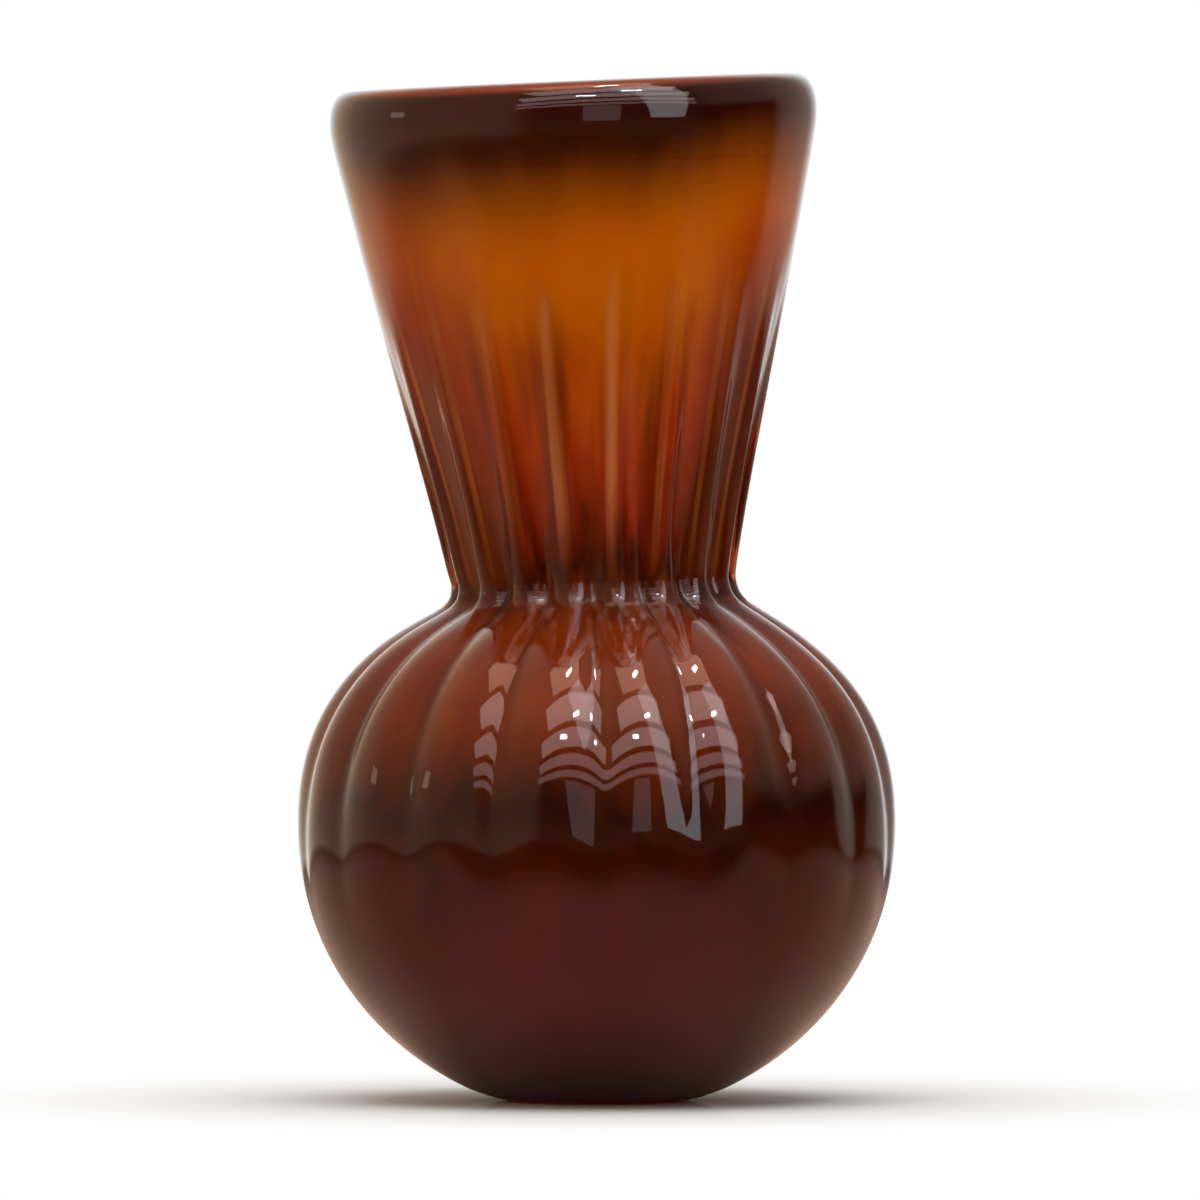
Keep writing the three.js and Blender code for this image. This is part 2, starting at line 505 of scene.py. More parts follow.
OUTER_RINGS = Rings(belly=14, shoulder=18, waist=8, collar=18)
INNER_RINGS = Rings(belly=7, shoulder=7, waist=3, collar=4)


class Bench:
    """Edit-mode tools for one piece of glass."""

    START_SIZE = 0.01
    WELD = 1e-6

    def __init__(self, name: str) -> None:
        """Starts a piece with one point at the origin.

        Args:
            name: Name of the piece and its mesh.
        """
        bpy.ops.object.select_all(action="DESELECT")
        bpy.ops.mesh.primitive_plane_add(size=self.START_SIZE)
        self.piece = bpy.context.object
        self.piece.name = name
        self.piece.data.name = name
        bpy.ops.object.mode_set(mode="EDIT")
        bpy.ops.mesh.merge(type="CENTER")

    def draw(self, points: list[Vector]) -> None:
        """Draws a profile: the first point is moved into place and extruded from point to point.

        Args:
            points: The profile's points in order.
        """
        bpy.ops.transform.translate(value=points[0])
        for start, end in zip(points, points[1:]):
            bpy.ops.mesh.extrude_vertices_move(TRANSFORM_OT_translate={"value": end - start})

    def spin(self, columns: int) -> None:
        """Spins the profile once round the vase's axis and closes its seam and poles.

        Args:
            columns: How many columns of faces it makes.
        """
        bpy.ops.mesh.select_all(action="SELECT")
        bpy.ops.mesh.spin(steps=columns, angle=math.tau, center=(0, 0, 0), axis=(0, 0, 1))
        bpy.ops.mesh.select_all(action="SELECT")
        bpy.ops.mesh.remove_doubles(threshold=self.WELD)
        bpy.ops.mesh.normals_make_consistent(inside=False)

    def places(self) -> list[Vector]:
        """Where the points are now, in the order that select takes them."""
        return [vert.co.copy() for vert in bmesh.from_edit_mesh(self.piece.data).verts]

    def select(self, chosen: Iterable[int]) -> None:
        """Selects points and nothing else.

        Args:
            chosen: The points' numbers.
        """
        bpy.ops.mesh.select_all(action="DESELECT")
        mesh = bmesh.from_edit_mesh(self.piece.data)
        mesh.verts.ensure_lookup_table()
        for number in chosen:
            mesh.verts[number].select = True
        mesh.select_flush_mode()
        bmesh.update_edit_mesh(self.piece.data)

    def press(self, chosen: Iterable[int], share: float) -> None:
        """Scales points towards the axis, to a share of their radius."""
        self.select(chosen)
        bpy.ops.transform.resize(value=(share, share, 1.0), center_override=(0, 0, 0))

    def turn(self, chosen: Iterable[int], angle: float, height: float) -> None:
        """Turns points about the Y axis at a height. A positive angle leans what is above towards -X."""
        self.select(chosen)
        bpy.ops.transform.rotate(value=angle, orient_axis="Y", center_override=(0, 0, height))

    def smooth(self, levels: int) -> None:
        """Leaves edit mode and rounds the piece with an applied Subdivision Surface.

        Args:
            levels: How often each face is divided.
        """
        bpy.ops.object.mode_set(mode="OBJECT")
        rounding = self.piece.modifiers.new("Rounding", "SUBSURF")
        rounding.levels = levels
        rounding.render_levels = levels
        bpy.ops.object.modifier_apply(modifier=rounding.name)
        bpy.ops.object.shade_smooth()


class VaseMap:
    """Where a point of the glass lies on the vase, for its materials."""

    AXIS_GUARD = 1e-6

    def __init__(self, tray: NodeTray, form: VaseForm) -> None:
        """Reads Object coordinates and the normal.

        Args:
            tray: The material's nodes.
            form: The vase's form.
        """
        self.object = tray.add("ShaderNodeTexCoord", output="Object")
        parts = tray.add("ShaderNodeSeparateXYZ", None, {"Vector": self.object})
        depth = parts.out("Y")
        self.height = parts.out("Z")
        leant = self.height.rise(form.crease - form.lean_blend, form.crease + form.lean_blend)
        across = parts.out("X") + leant * (self.height - form.lean_pivot) * math.tan(form.lean)
        radius = (across * across + depth * depth).maths("SQRT") + self.AXIS_GUARD
        self.side = across / radius
        self.front = 0.0 - depth / radius
        self.sides = self.side.maths("ABSOLUTE")
        self.angle = self.side.maths("ARCTAN2", self.front)
        normal = tray.add("ShaderNodeNewGeometry", output="Normal")
        facing = tray.add("ShaderNodeSeparateXYZ", None, {"Vector": normal})
        self.outward = facing.out("X") * self.side - facing.out("Y") * self.front
        self.tray = tray

    def wisps(self, along: float, size: float, detail: float = NodeTray.FINE) -> Wire:
        """Noise from 0 to 1 that runs up the wall as streaks, with a stretch in units per metre."""
        sockets = {"X": self.side, "Y": self.front, "Z": self.height * along}
        return self.tray.noise(self.tray.add("ShaderNodeCombineXYZ", None, sockets), size, detail)

    def rib(self, count: int, shift: float) -> Wire:
        """A wave from -1 to 1 that is highest at the ridges, shifted to one flank by a part of a turn."""
        wave = (self.angle * float(count) + shift).maths("COSINE")
        return 0.0 - wave


@dataclass(frozen=True)
class Span:
    """A soft step between two values. It falls where its end is below its start."""

    start: float
    end: float

    def of(self, value: Wire) -> Wire:
        """The step at a value: 0 before it and 1 after it."""
        return value.rise(self.start, self.end)


@dataclass(frozen=True)
class RibLine:
    """A line along every rib, beside its ridge. The shift is in degrees of one rib's turn."""

    shift: float
    width: Span
    strength: float = 1.0

    def over(self, place: VaseMap, ribs: Ribs) -> Wire:
        """How much of the line a place shows."""
        return self.width.of(place.rib(ribs.count, math.radians(self.shift))) * self.strength


@dataclass(frozen=True)
class RibLines:
    """Painted highlights and painted shade along the collar's ribs, and painted shade in the grooves of the
    shoulder.
    """

    neck: Span = Span(0.087, 0.095)
    grooved: Span = Span(0.052, 0.075)
    tops: Span = Span(0.150, 0.138)
    shade_tops: Span = Span(0.151, 0.118)
    ragged: float = 0.012
    noise: float = 5.0
    stretch: float = 6.0
    chance: Span = Span(0.3, 0.7)
    pale_least: float = 0.5
    right_varies: float = 0.3
    # pale paints a highlight beside each ridge; right and left paint shade on the ribs' flanks; groove
    # paints shade in the shoulder's grooves.
    pale: RibLine = RibLine(18.0, Span(0.74, 0.98))
    right: RibLine = RibLine(-40.0, Span(0.5, 1.0))
    left: RibLine = RibLine(74.0, Span(0.7, 1.0), 0.6)
    groove: RibLine = RibLine(180.0, Span(0.75, 1.0), 0.6)

    def over(self, place: VaseMap, ribs: Ribs) -> tuple[Wire, Wire]:
        """How much painted highlight and how much painted shade a place shows.

        Args:
            place: Where a point lies on the vase.
            ribs: The vase's ribs.

        Returns:
            The painted highlight and the painted shade.
        """
        chance = self.chance.of(place.wisps(self.stretch, self.noise, NodeTray.COARSE))
        uneven = place.height - place.side * ribs.collar_tilt + (chance - MIDDLE) * self.ragged
        neck = self.neck.of(place.height)
        shown = self.pale_least + chance * (1 - self.pale_least)
        # A painted highlight beside each ridge of the collar.
        pale = self.pale.over(place, ribs) * neck * self.tops.of(uneven) * shown
        # Painted shade on the flanks of the collar's ribs and in the shoulder's grooves.
        right = self.right.over(place, ribs) * (1 - chance * self.right_varies)
        lines = (right + self.left.over(place, ribs)) * neck * self.shade_tops.of(uneven)
        groove = self.groove.over(place, ribs) * self.grooved.of(place.height) * (1 - neck)
        dark = lines.maths("MAXIMUM", groove).maths("MINIMUM", 1.0)
        return pale, dark


@dataclass(frozen=True)
class CasingGlass:
    """Clear brown glass with a painted highlight and painted shade along the ribs of its collar, and
    painted shade in the grooves of its shoulder.
    """

    tint: Colour = (0.96, 0.52, 0.14, 1.0)
    painted_highlight_tint: Colour = (1.0, 0.92, 0.86, 1.0)
    painted_shade_tint: Colour = (0.20, 0.032, 0.016, 1.0)
    foot_tint: Colour = (0.75, 0.20, 0.12, 1.0)
    roughness: float = 0.03
    ior: float = 1.35
    shine_tint: Colour = (0.08, 0.08, 0.08, 1.0)
    absorbed: Colour = (0.90, 0.625, 0.175, 1.0)
    density: float = 200.0
    gloss: float = 0.6
    gloss_roughness: float = 0.03
    foot_zone: Span = Span(0.016, 0.004)
    lines: RibLines = RibLines()
    dark_share: float = 0.90
    dark_front: float = 0.45
    ripple: float = 60.0
    ripple_strength: float = 0.15
    ripple_depth: float = 0.0006

    def material(self, form: VaseForm) -> bpy.types.Material:
        """Makes the glass.

        Args:
            form: The form of the vase that it covers.

        Returns:
            The material.
        """
        material, tray = NodeTray.for_material("brown_casing_glass")
        place = VaseMap(tray, form)
        pale, dark = self.lines.over(place, form.ribs)
        tint = tray.mix(self.foot_zone.of(place.height), self.tint, self.foot_tint)
        # Painted shade along the ribs, stronger on the sides than in front.
        share = self.dark_front + place.sides * (self.dark_share - self.dark_front)
        tint = tray.mix(dark * share, tint, self.painted_shade_tint)
        ripple = tray.noise(place.object, self.ripple, NodeTray.COARSE)
        waves = {"Height": ripple, "Strength": self.ripple_strength, "Distance": self.ripple_depth}
        # Its base colour carries the painted highlight beside each ridge.
        glass = tray.add("ShaderNodeBsdfPrincipled", None, {
            "Base Color": tray.mix(pale, tint, self.painted_highlight_tint),
            "Roughness": self.roughness,
            "IOR": self.ior,
            "Specular Tint": self.shine_tint,
            "Transmission Weight": 1.0,
            "Coat Weight": self.gloss,
            "Coat Roughness": self.gloss_roughness,
            "Normal": tray.add("ShaderNodeBump", None, waves),
        })
        soaked = {"Color": self.absorbed, "Density": self.density}
        depth = tray.add("ShaderNodeVolumeAbsorption", None, soaked)
        tray.add("ShaderNodeOutputMaterial", None, {"Surface": glass, "Volume": depth})
        return material


@dataclass(frozen=True)
class MouthShade:
    """The dark shade round the mouth, which drips lower on the side that the collar leans to."""

    edge: Span = Span(0.1465, 0.1682)
    lift: float = 0.009
    lifted: Span = Span(-0.15, 0.95)
    cloud_size: float = 30.0
    cloud: float = 0.005
    drip_size: float = 2.6
    drip_stretch: float = 7.0
    drip: float = 0.007

    def over(self, place: VaseMap) -> Wire:
        """The shade's strength over the glass.

        Args:
            place: Where a point lies on the vase.

        Returns:
            0 below the shade and 1 in it.
        """
        cloud = place.tray.noise(place.object, self.cloud_size) - MIDDLE
        drip = place.wisps(self.drip_stretch, self.drip_size) - MIDDLE
        lifted = self.lifted.of(place.side) * self.lift
        return self.edge.of(place.height - lifted + cloud * self.cloud + drip * self.drip)


@dataclass(frozen=True)
class LitGlass:
    """Coloured glass that lets some of the light through, dark round the mouth."""

    # The collar's glow: partly the glass's own amber and partly painted light that comes through the wall.
    glow: Colour = (1.0, 0.55, 0.006, 1.0)
    top: Colour = (0.035, 0.005, 0.004, 1.0)
    top_warm: Colour = (0.060, 0.014, 0.008, 1.0)
    top_stretch: float = 14.0
    top_size: float = 2.2
    top_clouds: Span = Span(0.35, 0.7)
    # A painted glow along the rim's top edge, where light comes through the roll.
    rim: Colour = (0.32, 0.10, 0.015, 1.0)
    rim_glow_zone: Span = Span(0.1774, 0.1784)
    rim_tilt: float = 0.0018
    through: Colour = (0.9, 0.45, 0.10, 1.0)
    through_share: float = 0.25
    roughness: float = 0.16
    shine: float = 0.15
    mouth: MouthShade = MouthShade()

    def material(self, name: str, form: VaseForm) -> bpy.types.Material:
        """Makes the glass.

        Args:
            name: The material's name.
            form: The form of the vase that it covers.

        Returns:
            The material.
        """
        material, tray = NodeTray.for_material(name)
        place = VaseMap(tray, form)
        clouds = self.top_clouds.of(place.wisps(self.top_stretch, self.top_size))
        top = tray.mix(clouds, self.top, self.top_warm)
        shade = self.mouth.over(place)
        # Painted glow along the rim's top edge.
        top = tray.mix(self.rim_glow_zone.of(place.height - place.side * self.rim_tilt), top, self.rim)
        paint = tray.mix(shade, self.paint(place, form), top)
        glass = tray.add("ShaderNodeBsdfPrincipled", None, {
            "Base Color": paint,
            "Roughness": self.roughness,
            "Specular IOR Level": self.shine,
        })
        through = tray.add("ShaderNodeBsdfTranslucent", None, {"Color": self.through})
        both = tray.blend((1 - shade) * self.through_share, glass, through)
        tray.add("ShaderNodeOutputMaterial", None, {"Surface": both})
        return material

    def paint(self, place: VaseMap, form: VaseForm) -> Any:
        """The colour below the dark mouth: the glow of the collar, partly amber glass and partly painted
        light.
        """
        return self.glow


@dataclass(frozen=True)
class LiningGlass(LitGlass):
    """Amber glass, dark in the globe and glowing in the collar, with light and shade painted into its
    colours by height.

    The zones are where its colours lie from the foot up to the glow, as shares of the vase's height.
    """

    # The stops paint light and shade by height: the shoulder's orange is painted light from above, the
    # belly and the waist crease are painted shade, and the foot is painted lighter to make up for the shade
    # under the globe. From neck to glow the collar is partly the glass's amber and partly painted light.
    zones: tuple[float, ...] = (0.02, 0.285, 0.45, 0.52, 0.58, 0.64, 0.80)
    foot: Colour = (0.26, 0.036, 0.030, 1.0)
    belly: Colour = (0.030, 0.0065, 0.0055, 1.0)
    shoulder: Colour = (0.48, 0.19, 0.03, 1.0)
    waist: Colour = (0.06, 0.004, 0.002, 1.0)
    neck: Colour = (0.50, 0.065, 0.010, 1.0)
    throat: Colour = (0.70, 0.125, 0.008, 1.0)
    # The side colour paints shade and a reflection of the pale wall on the collar's left; the right colour
    # paints shade on its right; the drop lowers the colours on both sides as painted shade.
    side: Colour = (0.42, 0.16, 0.06, 1.0)
    side_zone: Span = Span(0.35, 0.95)
    side_rise: Span = Span(0.094, 0.115)
    left_zone: Span = Span(-0.35, -0.95)
    side_height: Span = Span(0.160, 0.125)
    side_share: float = 0.6
    right: Colour = (0.20, 0.05, 0.005, 1.0)
    right_shade_zone: Span = Span(0.55, 0.95)
    right_shade_share: float = 0.9
    inside: Colour = (0.85, 0.62, 0.60, 1.0)
    inside_zone: Span = Span(0.0, -0.3)
    side_shade_drop: float = 0.018
    cloud_size: float = 28.0
    cloud: float = 0.014
    flame_size: float = 7.0
    flame_stretch: float = 9.0
    flame: float = 0.026
    # Gold patches: brighter spots of the collar's glow, partly the glass's tone and partly painted light.
    gold: Colour = (1.0, 0.64, 0.012, 1.0)
    gold_size: float = 1.9
    gold_stretch: float = 16.0
    gold_zone: Span = Span(0.42, 0.66)
    gold_height: Span = Span(0.130, 0.146)
    smoke: Colour = (0.10, 0.035, 0.012, 1.0)
    smoke_size: float = 3.4
    smoke_stretch: float = 5.0
    smoke_zone: Span = Span(0.50, 0.72)
    smoke_height: Span = Span(0.152, 0.118)
    smoke_share: float = 0.65
    # pale paints a highlight beside each ridge of the collar.
    pale: Colour = (0.88, 0.52, 0.38, 1.0)
    pale_zone: Span = Span(0.088, 0.112)
    ridge_highlight_share: float = 0.85
    lines: RibLines = RibLines()

    def paint(self, place: VaseMap, form: VaseForm) -> Wire:
        """The colours from the foot up to the glow, with flames along their edges, and painted shade and a
        painted reflection on the sides.

        Args:
            place: Where a point lies on the vase.
            form: The vase's form.

        Returns:
            The colour.
        """
        tray = place.tray
        cloud = tray.noise(place.object, self.cloud_size) - MIDDLE
        flame = place.wisps(self.flame_stretch, self.flame_size) - MIDDLE
        # Painted shade: the colours sit lower on both sides of the collar.
        sides = self.side_zone.of(place.sides) * self.side_rise.of(place.height)
        level = place.height + cloud * self.cloud + flame * self.flame - sides * self.side_shade_drop
        # Painted light and shade by height, with the glass's own colours.
        colours = (self.foot, self.belly, self.shoulder, self.waist, self.neck, self.throat, self.glow)
        stops = list(zip(self.zones, colours))
        rising = tray.add("ShaderNodeValToRGB", {"stops": stops}, {"Fac": level / form.rim})
        above_waist = place.height.rise(form.crease, form.crease + form.lean_blend)
        lower = self.side_height.of(place.height) * above_waist
        # Brighter patches of the painted glow.
        gold = self.gold_zone.of(place.wisps(self.gold_stretch, self.gold_size))
        paint = tray.mix(gold * self.gold_height.of(place.height), rising, self.gold)
        # Painted shade and a painted reflection of the pale wall on the left, painted shade on the right.
        paint = tray.mix(self.left_zone.of(place.side) * lower * self.side_share, paint, self.side)
        paint = tray.mix(self.right_shade_zone.of(place.side) * lower * self.right_shade_share, paint, self.right)
        smoke = self.smoke_zone.of(place.wisps(self.smoke_stretch, self.smoke_size))
        rising_smoke = smoke * self.smoke_height.of(place.height) * self.pale_zone.of(place.height)
        paint = tray.mix(rising_smoke * self.smoke_share, paint, self.smoke)
        # A painted highlight beside each ridge of the collar.
        pale, _ = self.lines.over(place, form.ribs)
        paint = tray.mix(pale * self.pale_zone.of(place.height) * self.ridge_highlight_share, paint, self.pale)
        return tray.mix(self.inside_zone.of(place.outward), paint, self.inside, "MULTIPLY")


@dataclass
class GlassLayer(ABC):
    """A layer of blown glass: a profile spun round the vase's axis and leaned above the waist."""

    LEAN_DIGITS = 5

    form: VaseForm
    node: str
    slot: str
    columns: int = 72
    levels: int = 1

    @abstractmethod
    def profile(self) -> list[Vector]:
        """The closed profile, at the right of the axis."""

    @abstractmethod
    def finish(self) -> bpy.types.Material:
        """The layer's material."""

    def shape(self, bench: Bench) -> None:
        """Shapes the spun glass further, before it is leaned."""

    def build(self) -> bpy.types.Object:
        """Models the layer.

        Returns:
            The finished piece, with its place in its mesh.
        """
        bench = Bench(self.node)
        bench.draw(self.profile())
        bench.spin(self.columns)
        heights = [place.z for place in bench.places()]
        self.shape(bench)
        self._lean(bench, heights)
        bench.smooth(self.levels)
        self._dress(bench.piece)
        return bench.piece

    def _lean(self, bench: Bench, heights: list[float]) -> None:
        """Leans the collar, ring by ring through the bend at the waist.

        Args:
            bench: The piece on the bench.
            heights: Height of each point before anything was leaned.
        """
        form = self.form
        rings = defaultdict(list)
        for number, height in enumerate(heights):
            share = smoothstep(height, form.crease - form.lean_blend, form.crease + form.lean_blend)
            rings[round(share, self.LEAN_DIGITS)].append(number)
        for share, ring in rings.items():
            if share > 0:
                bench.turn(ring, form.lean * share, form.lean_pivot)

    def _dress(self, piece: bpy.types.Object) -> None:
        """Gives a piece its glass and its place in the frame.

        Args:
            piece: The finished piece.
        """
        piece.data.materials.append(self.finish())
        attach(piece, BODY)
        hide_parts(self.node)


@dataclass
class OuterCasing(GlassLayer):
    """The ribbed brown glass, from the pontil hollow under the foot to the roll over the rim."""

    HEIGHT_DIGITS = 7
    PRESS_DIGITS = 4
    ON_WALL = 1e-5

    node: str = "outer_casing"
    slot: str = "brown_casing_glass"
    columns: int = 144
    hollow_rings: int = 3
    edge_rings: int = 3
    outer_roll_rings: int = 8
    inner_roll_rings: int = 4
    glass: CasingGlass = CasingGlass()

    def profile(self) -> list[Vector]:
        """Foot, outer wall, roll and inner wall.

        Returns:
            The closed profile.
        """
        form = self.form
        inside = form.bowl(form.casing_inside, form.lip_seat, INNER_RINGS)
        return [*self._foot(), *self._wall(), *self._roll(), *reversed(inside)]

    def finish(self) -> bpy.types.Material:
        """The brown glass."""
        return self.glass.material(self.form)

    def shape(self, bench: Bench) -> None:
        """Presses the ribs in, point by point, where the outer wall has them.

        Args:
            bench: The piece on the bench.
        """
        outer = {round(point.z, self.HEIGHT_DIGITS): point.x for point in self._wall()}
        pressed = defaultdict(list)
        for number, place in enumerate(bench.places()):
            radius = math.hypot(place.x, place.y)
            height = round(place.z, self.HEIGHT_DIGITS)
            sunk = self.form.ribs.sunk_at(height, math.atan2(place.x, -place.y))
            on_wall = height in outer and abs(outer[height] - radius) < self.ON_WALL
            if on_wall and sunk > 0:
                pressed[round(1 - sunk / radius, self.PRESS_DIGITS)].append(number)
        for share, ring in pressed.items():
            bench.press(ring, share)

    def _foot(self) -> list[Vector]:
        """The ground hollow, the flat ring and its rounded edge.

        Returns:
            Points from the axis out to the wall.
        """
        form = self.form
        hollow = [
            Vector((radius, 0.0, form.pontil_depth * (1 - (radius / form.pontil_radius) ** 2)))
            for radius in climb(0.0, form.pontil_radius, self.hollow_rings)
        ]
        flat = Vector((form.foot_radius, 0.0, 0.0))
        corner = Vector((form.foot_radius + form.foot_edge, 0.0, 0.0))
        joint = form.point(form.outside, form.foot_edge_rise)
        edge = [
            flat.lerp(corner, step).lerp(corner.lerp(joint, step), step)
            for step in climb(0.0, 1.0, self.edge_rings)
        ]
        inner_flat = Vector((form.pontil_radius + form.foot_edge, 0.0, 0.0))
        return [Vector((0.0, 0.0, form.pontil_depth)), *hollow, inner_flat, flat, *edge]

    def _wall(self) -> list[Vector]:
        """The outer wall.

        Returns:
            Points from above the foot's edge up to the roll.
        """
        form = self.form
        heights = OUTER_RINGS.heights(form, form.foot_edge_rise, form.lip_bend)
        return [form.point(form.outside, height) for height in heights]

    def _roll(self) -> list[Vector]:
        """The roll over the lip.

        Returns:
            Points from its outer round down its inner edge to its underside.
        """
        form = self.form
        bend = form.radius_at(form.outside, form.lip_bend)
        points = form.lip_corner(bend, form.rim, self.outer_roll_rings)
        middle = Vector((form.lip_crown, 0.0, form.rim - form.lip_inner_round))
        for angle in climb(math.pi / 2, math.pi, self.inner_roll_rings):
            arm = Vector((math.cos(angle), 0.0, math.sin(angle))) * form.lip_inner_round
            points.append(middle + arm)
        return [*points, *form.under_roll()]


@dataclass
class LitLayer(GlassLayer):
    """A layer of glass that lets some of the light through."""

    glass: LitGlass = LitGlass()

    def finish(self) -> bpy.types.Material:
        """The layer's glass, named for its slot."""
        return self.glass.material(self.slot, self.form)


@dataclass
class InnerLining(LitLayer):
    """The amber glass inside the casing, from the bowl's floor to the dark band."""

    node: str = "inner_lining"
    slot: str = "amber_lining_glass"
    fused: float = 0.00015
    glass: LiningGlass = LiningGlass()

    def profile(self) -> list[Vector]:
        """The outer face, fused a little way into the casing, and the inner face.

        Returns:
            The closed profile.
        """
        form = self.form
        outer = form.casing_inside.deeper(-self.fused)
        inner = form.casing_inside.deeper(form.lining_wall)
        outside = form.bowl(outer, form.lip_seat, INNER_RINGS)
        inside = form.bowl(inner, form.lip_seat, INNER_RINGS)
        outside.insert(-1, form.point(outer, form.lip_seat - self.fused))
        inside.insert(-1, form.point(inner, form.lip_seat - self.fused))
        return [*outside, *reversed(inside)]


@dataclass
class LipBand(LitLayer):
    """The dark band of glass inside the mouth, between the lining and the roll."""

    node: str = "lip_band"
    slot: str = "dark_lip_glass"
    fused: float = 0.00025
    overlap: float = 0.004
    wall_rings: int = 4

    def profile(self) -> list[Vector]:
        """A section that stands on the lining and ends in the roll.

        Returns:
            The closed profile.
        """
        form = self.form
        outside = form.casing_inside.deeper(-self.fused)
        inside = form.casing_inside.deeper(form.lining_wall)
        seat = form.lip_seat
        tail = seat - self.overlap
        foot = form.point(form.casing_inside.deeper(self.fused), tail)
        heel = form.point(form.casing_inside.deeper(form.lining_wall - self.fused), tail)
        outer = [form.point(outside, height) for height in climb(seat, form.lip_bend, self.wall_rings)[:-1]]
        inner = form.point(inside, seat)
        roof = form.under_roll(self.fused)[::-1]
        face = [roof[-1].lerp(inner, step) for step in climb(0.0, 1.0, self.wall_rings)]
        return [foot, form.point(outside, seat), *outer, *roof, *face, heel, foot]


@dataclass(frozen=True)
class FloorFinish:
    """A white floor with a faint gloss, which is lost in the white background further out."""

    colour: Colour = (0.90, 0.90, 0.89, 1.0)
    gloss: float = 0.05
    gloss_roughness: float = 0.025
    fade: Span = Span(0.035, 0.13)
    gloss_fade: Span = Span(0.13, 0.07)

    def material(self) -> bpy.types.Material:
        """Makes the floor's material.

        Returns:
            The material.
        """
        material, tray = NodeTray.for_material("studio_floor")
        place = tray.add("ShaderNodeTexCoord", output="Object")
        reach = tray.add("ShaderNodeVectorMath", {"operation": "LENGTH"}, {0: place}, "Value")
        rays = tray.add("ShaderNodeLightPath", output="Is Camera Ray")
        shown = rays.maths("MAXIMUM", rays.out("Is Glossy Ray"))
        shown = shown.maths("MAXIMUM", rays.out("Is Transmission Ray"))
        matt = tray.add("ShaderNodeBsdfDiffuse", None, {"Color": self.colour})
        mirror = tray.add("ShaderNodeBsdfAnisotropic", None, {"Roughness": self.gloss_roughness})
        white = tray.add("ShaderNodeEmission")
        floor = tray.blend(self.fade.of(reach) * shown, matt, white)
        both = tray.blend(rays * self.gloss_fade.of(reach) * self.gloss, floor, mirror)
        tray.add("ShaderNodeOutputMaterial", None, {"Surface": both})
        return material


